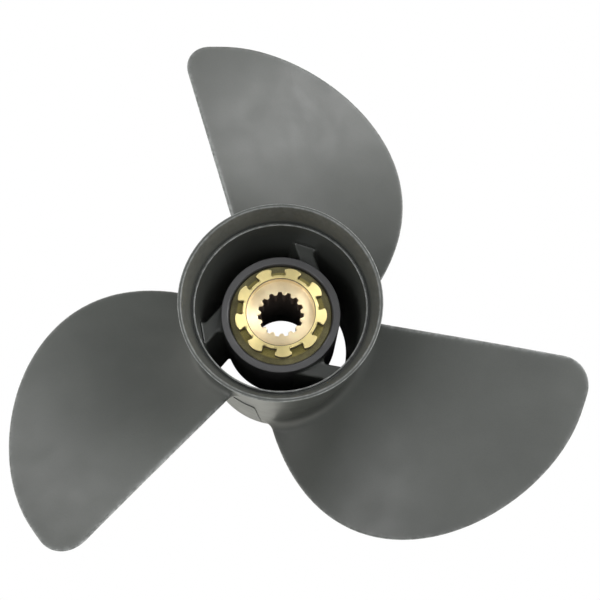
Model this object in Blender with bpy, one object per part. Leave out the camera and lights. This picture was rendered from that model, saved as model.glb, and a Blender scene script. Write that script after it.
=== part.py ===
"""Three-blade through-hub-exhaust boat propeller, standing on its forward end with the aft end up.

Heights below are measured from the forward end of the barrel, along the shaft axis. Angles are measured
anticlockwise about that axis, as seen from aft. The finished assembly is lowered so that the origin is
the balance point on the shaft axis.
"""

import math

import bmesh
import bpy
import numpy as np
from mathutils import Matrix

MM = 0.001
SEAM = 0.3 * MM
TURN_STEPS = 72
BALANCE_HEIGHT = 67.7 * MM

# Barrel and flared rim
BARREL_LENGTH = 140.0 * MM
BARREL_FRONT_RADIUS = 53.4 * MM
BARREL_WAIST_RADIUS = 54.6 * MM
BARREL_WAIST_HEIGHT = 104.0 * MM
RIM_RADIUS = 59.2 * MM
RIM_LIP = 1.6 * MM
BORE_FRONT_RADIUS = 47.2 * MM
BORE_AFT_RADIUS = 51.0 * MM
BORE_AFT_HEIGHT = 126.3 * MM
GROOVE_WIDTH = 1.4 * MM
GROOVE_DEPTH = 2.0 * MM
EDGE_CHAMFER = 0.8 * MM

# Inner hub tube, with a narrower neck at its forward end
HUB_AFT_HEIGHT = 108.6 * MM
HUB_AFT_RADIUS = 36.5 * MM
HUB_SHOULDER_HEIGHT = 40.0 * MM
HUB_SHOULDER_RADIUS = 37.1 * MM
HUB_BORE_RADIUS = 31.5 * MM
HUB_FACE_DROP = 0.8 * MM
HUB_SEAT_HEIGHT = 48.0 * MM
NECK_RADIUS = 28.5 * MM
NECK_BORE_RADIUS = 22.0 * MM
NECK_FRONT_HEIGHT = 5.0 * MM
NECK_SHOULDER_DROP = 6.0 * MM

# Ribs that carry the hub inside the barrel
RIB_COUNT = 3
RIB_DIRECTION = math.radians(111.0)
RIB_AFT_HEIGHT = 100.0 * MM
RIB_FRONT_HEIGHT = 38.0 * MM
RIB_AFT_OFFSET = 28.6 * MM
RIB_FRONT_OFFSET = 26.3 * MM
RIB_AFT_THICKNESS = 9.4 * MM
RIB_FRONT_THICKNESS = 16.6 * MM

# Blades
BLADE_COUNT = 3
BLADE_DIRECTION = math.radians(85.0)
TIP_RADIUS = 189.6 * MM
PITCH = 365.7 * MM
PITCH_GAIN = 45.9 * MM
RAKE = math.radians(9.5)
TIP_LIFT = -2.6 * MM
RAKE_RADIUS = 115.0 * MM
RAKE_SPAN = 60.0 * MM
BLADE_HEIGHT = 77.1 * MM
TRAILING_DIRECTION = math.radians(23.66)
TRAILING_OFFSET = 10.6 * MM
TIP_CORNER_RADIUS = 18.0 * MM
LEADING_START = math.radians(17.54)
LEADING_TIP_HANDLE = 74.2 * MM
LEADING_ROOT_HANDLE = 155.6 * MM
LEADING_END_RADIUS = 37.7 * MM
LEADING_END = math.radians(-70.54)
LEADING_END_SLOPE = math.radians(-42.97)
ROOT_RADIUS = 48.0 * MM
ROOT_THICKNESS = 12.0 * MM
TIP_THICKNESS = 3.0 * MM
EDGE_THICKNESS = 2.0 * MM
ROOT_FLARE = 9.0 * MM
ROOT_FLARE_REACH = 5.0 * MM
CHORD_STEPS = 14
SPAN_STEPS = 15

# Rubber bush and splined sleeve
BUSH_AFT_HEIGHT = 105.0 * MM
SLEEVE_AFT_HEIGHT = 113.4 * MM
SLEEVE_FRONT_HEIGHT = 44.0 * MM
SLEEVE_RADIUS = 22.0 * MM
SLEEVE_BORE_RADIUS = 16.0 * MM
FLANGE_RADIUS = 28.1 * MM
FLANGE_THICKNESS = 5.5 * MM
TAB_COUNT = 9
TAB_DIRECTION = math.radians(35.0)
NOTCH_ROOT_RADIUS = 23.2 * MM
NOTCH_WIDTH = 8.0 * MM
DISH_RADIUS = 20.8 * MM
DISH_FLOOR_RADIUS = 20.6 * MM
DISH_WALL_DEPTH = 4.8 * MM
MOUTH_DEPTH = 5.6 * MM
MOUTH_BEVEL = 0.8 * MM
SPLINE_COUNT = 15
SPLINE_DIRECTION = math.radians(22.0)
SPLINE_MAJOR_RADIUS = 14.0 * MM
SPLINE_MINOR_RADIUS = 12.2 * MM
SPLINE_LENGTH = 14.0 * MM
SPLINE_GROOVE_WIDTH = 2.5 * MM


def clear_scene():
    for old in list(bpy.data.objects):
        bpy.data.objects.remove(old, do_unlink=True)


def finish(name, red, green, blue, roughness, metallic):
    """One Principled BSDF with a colour, a roughness and a metallic value."""
    material = bpy.data.materials.new(name)
    material.use_nodes = True
    shader = material.node_tree.nodes["Principled BSDF"]
    shader.inputs["Base Color"].default_value = (red, green, blue, 1.0)
    shader.inputs["Roughness"].default_value = roughness
    shader.inputs["Metallic"].default_value = metallic
    return material


def add_object(name, mesh, material=None):
    thing = bpy.data.objects.new(name, mesh)
    bpy.context.scene.collection.objects.link(thing)
    if material is not None:
        mesh.materials.append(material)
    return thing


def mesh_from(bm, name):
    """Closes a bmesh into a mesh with its faces pointing out and its round sides shaded smooth."""
    bmesh.ops.recalc_face_normals(bm, faces=bm.faces)
    mesh = bpy.data.meshes.new(name)
    bm.to_mesh(mesh)
    bm.free()
    mesh.shade_smooth()
    mesh.set_sharp_from_angle(angle=math.radians(35.0))
    return mesh


def turned(name, profile, material=None):
    """A solid of revolution: a closed profile of (radius, height) points, spun about the shaft axis."""
    bm = bmesh.new()
    corners = [bm.verts.new((radius, 0.0, height)) for radius, height in profile]
    if profile[0][0] > 0.0:
        edges = [bm.edges.new((corners[i - 1], corners[i])) for i in range(len(corners))]
    else:
        edges = [bm.edges.new((corners[i - 1], corners[i])) for i in range(1, len(corners))]
    bmesh.ops.spin(
        bm,
        geom=corners + edges,
        cent=(0.0, 0.0, 0.0),
        axis=(0.0, 0.0, 1.0),
        angle=2.0 * math.pi,
        steps=TURN_STEPS,
        use_duplicate=False,
    )
    bmesh.ops.remove_doubles(bm, verts=bm.verts, dist=0.01 * MM)
    return add_object(name, mesh_from(bm, name), material)


def make_cutter(thing):
    thing.hide_render = True
    thing.display_type = "WIRE"
    return thing


def add_boolean(thing, operation, other):
    modifier = thing.modifiers.new(operation.lower(), "BOOLEAN")
    modifier.operation = operation
    modifier.solver = "EXACT"
    modifier.object = other


def between(low, high, share):
    return low + (high - low) * share


def barrel_outer_radius(height):
    """Outer radius of barrel and rim: a slight taper, then a flare that opens as a square law."""
    if height <= BARREL_WAIST_HEIGHT:
        return between(BARREL_FRONT_RADIUS, BARREL_WAIST_RADIUS, height / BARREL_WAIST_HEIGHT)
    share = (height - BARREL_WAIST_HEIGHT) / (BARREL_LENGTH - BARREL_WAIST_HEIGHT)
    return between(BARREL_WAIST_RADIUS, RIM_RADIUS, share * share)


def bore_radius(height):
    return between(BORE_FRONT_RADIUS, BORE_AFT_RADIUS, height / BORE_AFT_HEIGHT)


def hub_radius(height):
    share = (height - HUB_SHOULDER_HEIGHT) / (HUB_AFT_HEIGHT - HUB_SHOULDER_HEIGHT)
    return between(HUB_SHOULDER_RADIUS, HUB_AFT_RADIUS, share)


def flare_heights():
    return [between(BARREL_WAIST_HEIGHT, BARREL_LENGTH, step / 4) for step in range(5)]


def make_barrel(material):
    """Outer tube of the casting, from its forward end to the groove behind the flared rim."""
    seam_height = BORE_AFT_HEIGHT
    outside = [
        (barrel_outer_radius(height), height)
        for height in [EDGE_CHAMFER, BARREL_WAIST_HEIGHT] + flare_heights()[1:]
        if height < seam_height
    ]
    outside.append((barrel_outer_radius(seam_height), seam_height))
    profile = [(BARREL_FRONT_RADIUS - EDGE_CHAMFER, 0.0)] + outside
    profile.append((BORE_AFT_RADIUS + EDGE_CHAMFER, seam_height))
    profile.append((BORE_AFT_RADIUS, seam_height - EDGE_CHAMFER))
    profile.append((BORE_FRONT_RADIUS, EDGE_CHAMFER))
    profile.append((BORE_FRONT_RADIUS + EDGE_CHAMFER, 0.0))
    return turned("barrel", profile, material)


def make_flared_rim(material):
    """Aft ring of the casting: a coned inside and a flared outside that meet at a narrow lip."""
    low = BORE_AFT_HEIGHT + SEAM
    outside = [(barrel_outer_radius(low), low)]
    outside += [(barrel_outer_radius(height), height) for height in flare_heights() if height > low]
    outside[-1] = (RIM_RADIUS, BARREL_LENGTH - EDGE_CHAMFER)
    inner = BORE_AFT_RADIUS + GROOVE_WIDTH
    profile = outside + [
        (RIM_RADIUS - EDGE_CHAMFER, BARREL_LENGTH),
        (RIM_RADIUS - RIM_LIP - EDGE_CHAMFER, BARREL_LENGTH),
        (inner + EDGE_CHAMFER, low + GROOVE_DEPTH),
        (inner, low + GROOVE_DEPTH - EDGE_CHAMFER),
        (inner, low),
    ]
    return turned("flared_rim", profile, material)


def make_inner_hub(material):
    """Hub tube: the bush is pressed in from aft against a seat, and a neck reaches on to the front."""
    rounding = 2.0 * EDGE_CHAMFER
    face_height = HUB_AFT_HEIGHT - HUB_FACE_DROP
    profile = [
        (NECK_BORE_RADIUS + EDGE_CHAMFER, NECK_FRONT_HEIGHT),
        (NECK_RADIUS - EDGE_CHAMFER, NECK_FRONT_HEIGHT),
        (NECK_RADIUS, NECK_FRONT_HEIGHT + EDGE_CHAMFER),
        (NECK_RADIUS, HUB_SHOULDER_HEIGHT - NECK_SHOULDER_DROP),
        (HUB_SHOULDER_RADIUS - rounding, HUB_SHOULDER_HEIGHT),
        (HUB_SHOULDER_RADIUS, HUB_SHOULDER_HEIGHT + rounding),
        (HUB_AFT_RADIUS, HUB_AFT_HEIGHT - rounding),
        (HUB_AFT_RADIUS - rounding, HUB_AFT_HEIGHT),
        (HUB_BORE_RADIUS + EDGE_CHAMFER, face_height + EDGE_CHAMFER),
        (HUB_BORE_RADIUS, face_height),
        (HUB_BORE_RADIUS, HUB_SEAT_HEIGHT),
        (NECK_BORE_RADIUS, HUB_SEAT_HEIGHT),
        (NECK_BORE_RADIUS, NECK_FRONT_HEIGHT + EDGE_CHAMFER),
    ]
    return turned("inner_hub", profile, material)


def rib_space():
    """The room between hub and barrel, a seam clear of both, that every rib is cut to."""
    low = RIB_FRONT_HEIGHT - 1.0 * MM
    high = RIB_AFT_HEIGHT + 1.0 * MM
    profile = [
        (hub_radius(low) + SEAM, low),
        (bore_radius(low) - SEAM, low),
        (bore_radius(high) - SEAM, high),
        (hub_radius(high) + SEAM, high),
    ]
    return make_cutter(turned("rib_space", profile))


def make_rib(number, space, material):
    """A slab set aslant to the radius, thicker and a little turned back towards its forward end."""
    bm = bmesh.new()
    reach = (20.0 * MM, 60.0 * MM)
    levels = (
        (RIB_FRONT_HEIGHT, RIB_FRONT_OFFSET, RIB_FRONT_THICKNESS),
        (RIB_AFT_HEIGHT, RIB_AFT_OFFSET, RIB_AFT_THICKNESS),
    )
    rings = []
    for height, offset, thickness in levels:
        near = offset - thickness / 2
        far = offset + thickness / 2
        flat = ((reach[0], -near), (reach[0], -far), (reach[1], -far), (reach[1], -near))
        rings.append([bm.verts.new((along, across, height)) for along, across in flat])
    bm.faces.new(rings[0])
    bm.faces.new(rings[1])
    for i in range(4):
        bm.faces.new((rings[0][i - 1], rings[0][i], rings[1][i], rings[1][i - 1]))
    angle = RIB_DIRECTION + number * 2.0 * math.pi / RIB_COUNT
    bmesh.ops.rotate(bm, verts=bm.verts, matrix=Matrix.Rotation(angle, 3, "Z"))
    name = f"rib_{number + 1}"
    rib = add_object(name, mesh_from(bm, name), material)
    add_boolean(rib, "INTERSECT", space)
    return rib


def trailing_edge():
    """Radius and angle along the aft edge: a straight line, then the arc of the tip corner."""
    along_corner = math.sqrt((TIP_RADIUS - TIP_CORNER_RADIUS) ** 2 - (TRAILING_OFFSET - TIP_CORNER_RADIUS) ** 2)
    line = np.linspace(30.0 * MM, along_corner, 60)
    line_points = np.stack([line, np.full_like(line, TRAILING_OFFSET)], axis=1)
    centre = np.array([along_corner, TRAILING_OFFSET - TIP_CORNER_RADIUS])
    tip_turn = math.atan2(centre[1], centre[0])
    turn = np.linspace(math.pi / 2, tip_turn, 60)[1:]
    arc_points = centre + TIP_CORNER_RADIUS * np.stack([np.cos(turn), np.sin(turn)], axis=1)
    points = np.concatenate([line_points, arc_points])
    radius = np.hypot(points[:, 0], points[:, 1])
    angle = np.arctan2(points[:, 1], points[:, 0]) + TRAILING_DIRECTION
    return radius, angle


def leading_edge():
    """Radius and angle along the forward edge: one cubic curve from the tip circle into the hub."""
    start = TIP_RADIUS * np.array([math.cos(LEADING_START), math.sin(LEADING_START)])
    start_way = np.array([math.sin(LEADING_START), -math.cos(LEADING_START)])
    end = LEADING_END_RADIUS * np.array([math.cos(LEADING_END), math.sin(LEADING_END)])
    end_way = np.array([math.cos(LEADING_END_SLOPE), math.sin(LEADING_END_SLOPE)])
    t = np.linspace(0.0, 1.0, 240)[:, None]
    points = (
        (1 - t) ** 3 * start
        + 3 * (1 - t) ** 2 * t * (start + LEADING_TIP_HANDLE * start_way)
        + 3 * (1 - t) * t**2 * (end + LEADING_ROOT_HANDLE * end_way)
        + t**3 * end
    )
    radius = np.hypot(points[:, 0], points[:, 1])
    angle = np.arctan2(points[:, 1], points[:, 0])
    return radius[::-1], angle[::-1]


def blade_grids():
    """Aft and forward surfaces of one blade, as grids of points from root to tip and edge to edge.

    Both follow a raked helix whose pitch grows in proportion to the radius: PITCH_GAIN for each RAKE_SPAN
    outwards. The forward surface lies one thickness away from it along its normal.
    """
    span = np.linspace(0.0, 1.0, SPAN_STEPS + 1)[:, None]
    chord = (1 - np.cos(np.linspace(0.0, math.pi, CHORD_STEPS + 1)))[None, :] / 2
    radius = TIP_RADIUS - (TIP_RADIUS - ROOT_RADIUS) * (1 - span) ** 2
    trailing = np.interp(radius, *trailing_edge())
    leading = np.interp(radius, *leading_edge())
    angle = trailing + (leading - trailing) * chord
    out = (radius - RAKE_RADIUS) / RAKE_SPAN
    advance = (PITCH + PITCH_GAIN * out) / (2 * math.pi)
    rise = math.tan(RAKE) * (radius - RAKE_RADIUS) + TIP_LIFT * out**2
    height = BLADE_HEIGHT + advance * angle + rise
    radius = radius + 0 * angle

    inwards = (TIP_RADIUS - radius) / (TIP_RADIUS - BARREL_FRONT_RADIUS)
    middle = TIP_THICKNESS + (ROOT_THICKNESS - TIP_THICKNESS) * np.clip(inwards, 0.0, None) ** 1.3
    belly = 4 * chord * (1 - chord)
    thickness = EDGE_THICKNESS + (middle - EDGE_THICKNESS) * belly
    flare = ROOT_FLARE * np.exp(-np.clip(radius - BARREL_FRONT_RADIUS, 0.0, None) / ROOT_FLARE_REACH)

    turned_gain = PITCH_GAIN * angle / (2 * math.pi)
    slope_out = math.tan(RAKE) + (turned_gain + 2 * TIP_LIFT * out) / RAKE_SPAN
    slope_round = advance / radius
    length = np.sqrt(1 + slope_out**2 + slope_round**2)
    base = np.stack([radius * np.cos(angle), radius * np.sin(angle), height], axis=-1)
    normal = np.stack(
        [
            (-slope_out * np.cos(angle) + slope_round * np.sin(angle)) / length,
            (-slope_out * np.sin(angle) - slope_round * np.cos(angle)) / length,
            1 / length,
        ],
        axis=-1,
    )
    aft = base + normal * (EDGE_THICKNESS / 2 + flare / 3)[..., None]
    forward = base - normal * (thickness - EDGE_THICKNESS / 2 + flare / 3)[..., None]
    return aft, forward


def blade_mesh():
    aft, forward = blade_grids()
    rows, columns = aft.shape[:2]
    bm = bmesh.new()
    sides = []
    for grid in (aft, forward):
        sides.append([[bm.verts.new(point) for point in row] for row in grid])
    for side in sides:
        for j in range(rows - 1):
            for i in range(columns - 1):
                bm.faces.new((side[j][i], side[j][i + 1], side[j + 1][i + 1], side[j + 1][i]))
    front, back = sides
    for j in range(rows - 1):
        for i in (0, columns - 1):
            bm.faces.new((front[j][i], front[j + 1][i], back[j + 1][i], back[j][i]))
    for i in range(columns - 1):
        for j in (0, rows - 1):
            bm.faces.new((front[j][i], front[j][i + 1], back[j][i + 1], back[j][i]))
    return mesh_from(bm, "blade")


def barrel_envelope():
    """Barrel and rim as one plug, a seam larger all round, that clears the inner ends of the blades."""
    heights = [-20.0 * MM, 0.0] + flare_heights() + [BARREL_LENGTH + 20.0 * MM]
    profile = [(0.0, heights[0])]
    profile += [(barrel_outer_radius(min(max(h, 0.0), BARREL_LENGTH)) + SEAM, h) for h in heights]
    profile.append((0.0, heights[-1]))
    return make_cutter(turned("barrel_envelope", profile))


def make_blades(material):
    envelope = barrel_envelope()
    shape = blade_mesh()
    shape.materials.append(material)
    blades = []
    for number in range(BLADE_COUNT):
        blade = add_object(f"blade_{number + 1}", shape)
        blade.rotation_euler.z = BLADE_DIRECTION + number * 2.0 * math.pi / BLADE_COUNT
        add_boolean(blade, "DIFFERENCE", envelope)
        blades.append(blade)
    return blades


def make_rubber_bush(material):
    """Cushion pressed between hub and sleeve, which lets the hub slip when a blade strikes."""
    low = HUB_SEAT_HEIGHT + SEAM
    outer = HUB_BORE_RADIUS - SEAM
    inner = SLEEVE_RADIUS + SEAM
    profile = [
        (inner, low),
        (outer, low),
        (outer, BUSH_AFT_HEIGHT - EDGE_CHAMFER),
        (outer - EDGE_CHAMFER, BUSH_AFT_HEIGHT),
        (inner, BUSH_AFT_HEIGHT),
    ]
    return turned("rubber_bush", profile, material)


def make_splined_sleeve(material):
    """Bronze sleeve: a notched flange aft, a dished mouth, a short spline and a plain bore ahead of it."""
    mouth = SLEEVE_AFT_HEIGHT - MOUTH_DEPTH
    spline_front = mouth - SPLINE_LENGTH
    under = SLEEVE_AFT_HEIGHT - FLANGE_THICKNESS
    profile = [
        (SLEEVE_BORE_RADIUS, SLEEVE_FRONT_HEIGHT),
        (SLEEVE_RADIUS, SLEEVE_FRONT_HEIGHT),
        (SLEEVE_RADIUS, under),
        (FLANGE_RADIUS, under),
        (FLANGE_RADIUS, SLEEVE_AFT_HEIGHT),
        (DISH_RADIUS, SLEEVE_AFT_HEIGHT),
        (DISH_FLOOR_RADIUS, SLEEVE_AFT_HEIGHT - DISH_WALL_DEPTH),
        (SPLINE_MAJOR_RADIUS + MOUTH_BEVEL, mouth),
        (SPLINE_MINOR_RADIUS, mouth - MOUTH_BEVEL),
        (SPLINE_MINOR_RADIUS, spline_front),
        (SLEEVE_BORE_RADIUS, spline_front - MOUTH_BEVEL),
    ]
    sleeve = turned("splined_sleeve", profile, material)
    add_boolean(sleeve, "DIFFERENCE", notch_cutter(under))
    add_boolean(sleeve, "DIFFERENCE", spline_cutter(spline_front, mouth))
    return sleeve


def bars_about_axis(name, count, direction, inner, outer, width, low, high):
    """Separate blocks set radially about the shaft axis, as one cutter."""
    bm = bmesh.new()
    middle = (inner + outer) / 2
    for number in range(count):
        angle = direction + number * 2.0 * math.pi / count
        made = bmesh.ops.create_cube(bm, size=1.0)["verts"]
        bmesh.ops.scale(bm, verts=made, vec=(outer - inner, width, high - low))
        bmesh.ops.translate(bm, verts=made, vec=(middle, 0.0, (low + high) / 2))
        bmesh.ops.rotate(bm, verts=made, matrix=Matrix.Rotation(angle, 3, "Z"))
    return make_cutter(add_object(name, mesh_from(bm, name)))


def notch_cutter(under):
    past = 3.0 * MM
    between_tabs = TAB_DIRECTION + math.pi / TAB_COUNT
    return bars_about_axis(
        "notches", TAB_COUNT, between_tabs, NOTCH_ROOT_RADIUS, FLANGE_RADIUS + past,
        NOTCH_WIDTH, under - past, SLEEVE_AFT_HEIGHT + past,
    )


def spline_cutter(low, high):
    past = 3.0 * MM
    return bars_about_axis(
        "spline_grooves", SPLINE_COUNT, SPLINE_DIRECTION, SPLINE_MINOR_RADIUS - past,
        SPLINE_MAJOR_RADIUS, SPLINE_GROOVE_WIDTH, low - past, high + past,
    )


def main():
    clear_scene()
    paint = finish("grey_paint", 0.075, 0.08, 0.075, 0.45, 0.0)
    rubber = finish("bush_rubber", 0.07, 0.06, 0.035, 0.8, 0.0)
    bronze = finish("sleeve_bronze", 0.78, 0.6, 0.3, 0.3, 1.0)

    make_barrel(paint)
    make_flared_rim(paint)
    make_inner_hub(paint)
    space = rib_space()
    for number in range(RIB_COUNT):
        make_rib(number, space, paint)
    make_blades(paint)
    make_rubber_bush(rubber)
    make_splined_sleeve(bronze)

    balance = bpy.data.objects.new("balance_point", None)
    bpy.context.scene.collection.objects.link(balance)
    for thing in list(bpy.data.objects):
        if thing is not balance:
            thing.parent = balance
    balance.location.z = -BALANCE_HEIGHT


main()
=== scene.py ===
"""Finished surfaces of a three-blade outboard boat propeller, standing on its forward end.

The casting is one painted piece in the real thing: barrel, hub, ribs and blades run into each other with
fillets, so each surface here ends just under the skin of its neighbour. Heights are measured from the
forward end of the barrel along the shaft axis, and angles anticlockwise about that axis, seen from aft.
Lengths are in metres.
"""

import math

import bpy
import numpy as np
from mathutils import Matrix, Vector


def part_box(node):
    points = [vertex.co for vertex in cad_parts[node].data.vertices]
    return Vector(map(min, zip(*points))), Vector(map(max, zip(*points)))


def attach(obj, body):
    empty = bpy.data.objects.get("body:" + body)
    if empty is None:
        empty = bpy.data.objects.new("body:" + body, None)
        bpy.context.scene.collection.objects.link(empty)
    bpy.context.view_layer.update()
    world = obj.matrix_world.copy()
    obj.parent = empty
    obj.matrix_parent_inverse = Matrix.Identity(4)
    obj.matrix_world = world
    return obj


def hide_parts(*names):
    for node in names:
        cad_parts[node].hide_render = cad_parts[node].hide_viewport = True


bl_info = {
    "name": "Boat propeller maker",
    "version": (1, 0, 0),
    "blender": (4, 5, 0),
    "location": "View3D > Sidebar > Propeller",
    "description": "Makes the finished surfaces of a cast three-blade boat propeller",
    "category": "Add Mesh",
}

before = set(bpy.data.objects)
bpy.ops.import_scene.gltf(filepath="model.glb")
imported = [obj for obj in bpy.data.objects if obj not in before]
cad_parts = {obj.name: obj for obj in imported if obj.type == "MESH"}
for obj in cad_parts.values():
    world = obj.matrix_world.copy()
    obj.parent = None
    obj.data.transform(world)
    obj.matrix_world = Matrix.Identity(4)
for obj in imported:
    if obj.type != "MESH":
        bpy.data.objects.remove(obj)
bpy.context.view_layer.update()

MM = 0.001
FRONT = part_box("barrel")[0].z
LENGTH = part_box("flared_rim")[1].z - FRONT
RIM_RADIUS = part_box("flared_rim")[1].x
HUB_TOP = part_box("inner_hub")[1].z - FRONT
HUB_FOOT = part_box("inner_hub")[0].z - FRONT
HUB_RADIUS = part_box("inner_hub")[1].x
RIB_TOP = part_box("rib_1")[1].z - FRONT
RIB_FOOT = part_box("rib_1")[0].z - FRONT
BUSH_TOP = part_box("rubber_bush")[1].z - FRONT
BUSH_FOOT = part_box("rubber_bush")[0].z - FRONT
SLEEVE_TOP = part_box("splined_sleeve")[1].z - FRONT
SLEEVE_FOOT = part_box("splined_sleeve")[0].z - FRONT

# How far a piece runs on inside its neighbour, and how far its fillets end under the neighbour's skin
BURIED = 1.6 * MM
SKIN = 0.03 * MM

# Points in one turn of a turned surface, and along the outlines of the blades
TURN_COLUMNS = 288
FLARE_ROWS = 25
TRAILING_POINTS = 500
LEADING_POINTS = 1500
TIP_POINTS = 300

# An edge of this radius or less can be worn bare and lit with a painted highlight, and a flat is held flat
# this share of the radius on
SHARP_RADIUS = 0.5 * MM
HOLD_SHARE = 0.3

# Times that the ways of a blade's root fillet are smoothed along the loop
FAN_PASSES = 12

# Distance over which the wear and painted highlight of a blade's edge fade, and from the root fillet to
# where they are full
WEAR_AND_HIGHLIGHT_WIDTH = 0.8 * MM
WEAR_AND_HIGHLIGHT_CLEAR = 8.0 * MM

# Distances from the axis between which a finish changes: a painted reflection of the bronze tabs on the
# rubber from none to all, a paler bronze that paints the dish's highlights from none to all, and the
# floor's own light from none to all, which leaves a painted shadow on the floor under the barrel
TAB_REFLECTION_FADE = (27.6 * MM, 26.6 * MM)
DISH_HIGHLIGHT_FADE = (21.2 * MM, 20.9 * MM)
GLOW_FADE = (50.0 * MM, 54.0 * MM)

# How far the floor that shows and the floor that reflects lie below the forward end
SEEN_DROP = 0.3 * MM
FELT_DROP = 0.6 * MM

# Distance of the softboxes from the middle of the object
LIGHT_DISTANCE = 1.35

# Angle in degrees and height in metres of places along one parting line, from a blade to the front
FLASH_PATH = (
    (236.0, 75.0 * MM),
    (241.0, 75.0 * MM),
    (246.0, 73.0 * MM),
    (251.0, 72.5 * MM),
    (253.0, 71.0 * MM),
    (253.6, 62.0 * MM),
    (254.3, 42.0 * MM),
    (254.9, 28.5 * MM),
    (255.6, 14.0 * MM),
    (256.0, 3.0 * MM),
)

# Growth of the spline's outline and drop below the dish, in millimetres, down the spline's rounded mouth
SPLINE_MOUTH = ((0.35, 0.0), (0.2, 0.04), (0.08, 0.14), (0.0, 0.35), (0.0, 0.6), (0.0, 1.1))

# Name, azimuth and elevation in degrees, side in metres, watts
SOFTBOXES = (
    ("key", 25.0, 42.0, 0.55, 5.7),
    ("right_high", 45.0, 55.0, 0.55, 3.9),
    ("right_low", 0.0, 20.0, 0.55, 3.7),
    ("right", -10.0, 50.0, 0.55, 0.95),
    ("back", 120.0, 45.0, 0.55, 2.5),
    ("back_left", 140.0, 35.0, 0.45, 1.9),
    ("left_low", 180.0, 20.0, 0.55, 2.8),
    ("left", 205.0, 48.0, 0.35, 1.9),
    ("left_high", 195.0, 58.0, 0.45, 1.05),
    ("front_left", 240.0, 62.0, 0.55, 1.55),
    ("front_right", 300.0, 60.0, 0.55, 2.2),
)


def length(name, description, default):
    """Setting of a length in metres."""
    return bpy.props.FloatProperty(name=name, description=description, default=default, unit="LENGTH")


def degrees(name, description, default):
    """Setting of an angle, whose default is given in degrees."""
    return bpy.props.FloatProperty(
        name=name, description=description, default=math.radians(default), subtype="ANGLE"
    )


def colour(name, description, default):
    """Setting of a colour as red, green and blue."""
    return bpy.props.FloatVectorProperty(
        name=name, description=description, default=default, size=3, subtype="COLOR", min=0.0, max=1.0
    )


def factor(name, description, default):
    """Setting of a share from 0 to 1."""
    return bpy.props.FloatProperty(
        name=name, description=description, default=default, subtype="FACTOR", min=0.0, max=1.0
    )


def count(name, description, default):
    """Setting of a whole number."""
    return bpy.props.IntProperty(name=name, description=description, default=default, min=1)


class BarrelSizes(bpy.types.PropertyGroup):
    """Outer tube of the casting with its flared rim."""

    front_radius: length("Front radius", "Outside radius at the forward end", 53.4 * MM)
    waist_radius: length("Waist radius", "Outside radius where the flare starts", 54.6 * MM)
    waist_height: length("Waist height", "Height where the flare starts", 104.0 * MM)
    lip: length("Lip", "Width of the flat lip at the aft end", 2.1 * MM)
    bore_front: length("Front bore", "Bore radius at the forward end", 47.2 * MM)
    bore_aft: length("Aft bore", "Bore radius at the bead", 50.6 * MM)
    bead_height: length("Bead height", "Height of the bead at the aft end of the bore", 126.4 * MM)
    bead_width: length("Bead width", "Width of the bead", 1.0 * MM)
    groove_width: length("Groove width", "Width of the groove outside the bead", 1.3 * MM)
    groove_depth: length("Groove depth", "Depth of the groove below the bead", 2.0 * MM)
    lip_band: length("Lip band", "Height of the upright band outside the lip", 1.6 * MM)
    lip_edge: length("Lip edge", "Radius of the outer edge of the lip", 0.45 * MM)
    lip_inner_edge: length("Lip inner edge", "Radius of the inner edge of the lip", 0.8 * MM)
    # Painted light: a lift over the inner cone, and painted highlights on the bead and the lip's edges
    cone_painted_light: factor("Cone wear", "How far the paint of the inner cone is worn", 0.16)
    bead_highlight: factor("Bead wear", "How far the paint of the bead is worn", 0.7)
    lip_highlight: factor("Lip wear", "How far the paint at the edges of the lip is worn", 0.6)
    flash_width: length("Flash width", "Width of the raised parting line", 1.3 * MM)
    flash_height: length("Flash height", "Height of the raised parting line", 0.8 * MM)


class HubSizes(bpy.types.PropertyGroup):
    """Inner tube of the casting, which holds the rubber bush."""

    aft_radius: length("Aft radius", "Outside radius at the aft face", 36.5 * MM)
    bore: length("Bore", "Radius of the bore that holds the bush", 31.5 * MM)
    face_drop: length("Face drop", "How far the aft face slopes in towards the bore", 0.5 * MM)
    rounding: length("Rounding", "Radius of the outer edge of the aft face", 0.7 * MM)
    bore_edge: length("Bore edge", "Radius of the inner edge of the aft face", 1.6 * MM)
    shoulder_height: length("Shoulder height", "Height where the tube steps in to its neck", 40.0 * MM)
    shoulder_drop: length("Shoulder drop", "Height of the sloping step", 6.0 * MM)
    seat_height: length("Seat height", "Height of the floor that the bush rests on", 48.0 * MM)
    neck_radius: length("Neck radius", "Outside radius of the neck", 28.5 * MM)
    neck_bore: length("Neck bore", "Bore radius of the neck", 22.0 * MM)


class RibSizes(bpy.types.PropertyGroup):
    """The ribs that carry the hub inside the barrel."""

    number: count("Number", "Number of ribs", 3)
    direction: degrees("Direction", "Way that the first rib points", 111.0)
    near_aft: length("Near side, aft", "Distance of the inner side from the axis, aft", 23.9 * MM)
    far_aft: length("Far side, aft", "Distance of the outer side from the axis, aft", 33.3 * MM)
    near_front: length("Near side, front", "Distance of the inner side from the axis, front", 18.0 * MM)
    far_front: length("Far side, front", "Distance of the outer side from the axis, front", 34.6 * MM)
    hub_fillet: length("Hub fillet", "Radius where a side runs into the hub, aft", 3.2 * MM)
    wall_fillet: length("Wall fillet", "Radius where a side runs into the barrel, aft", 2.4 * MM)
    front_fillet: length("Front fillet", "Radius of both at the forward end", 1.2 * MM)
    face_fillet: length("Face fillet", "Radius where an end face runs into hub or barrel", 1.4 * MM)
    edge: length("Edge radius", "Radius of the edges beside the aft face", 1.3 * MM)
    front_edge: length("Front edge radius", "Radius of the edges beside the forward face", 3.0 * MM)


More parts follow.
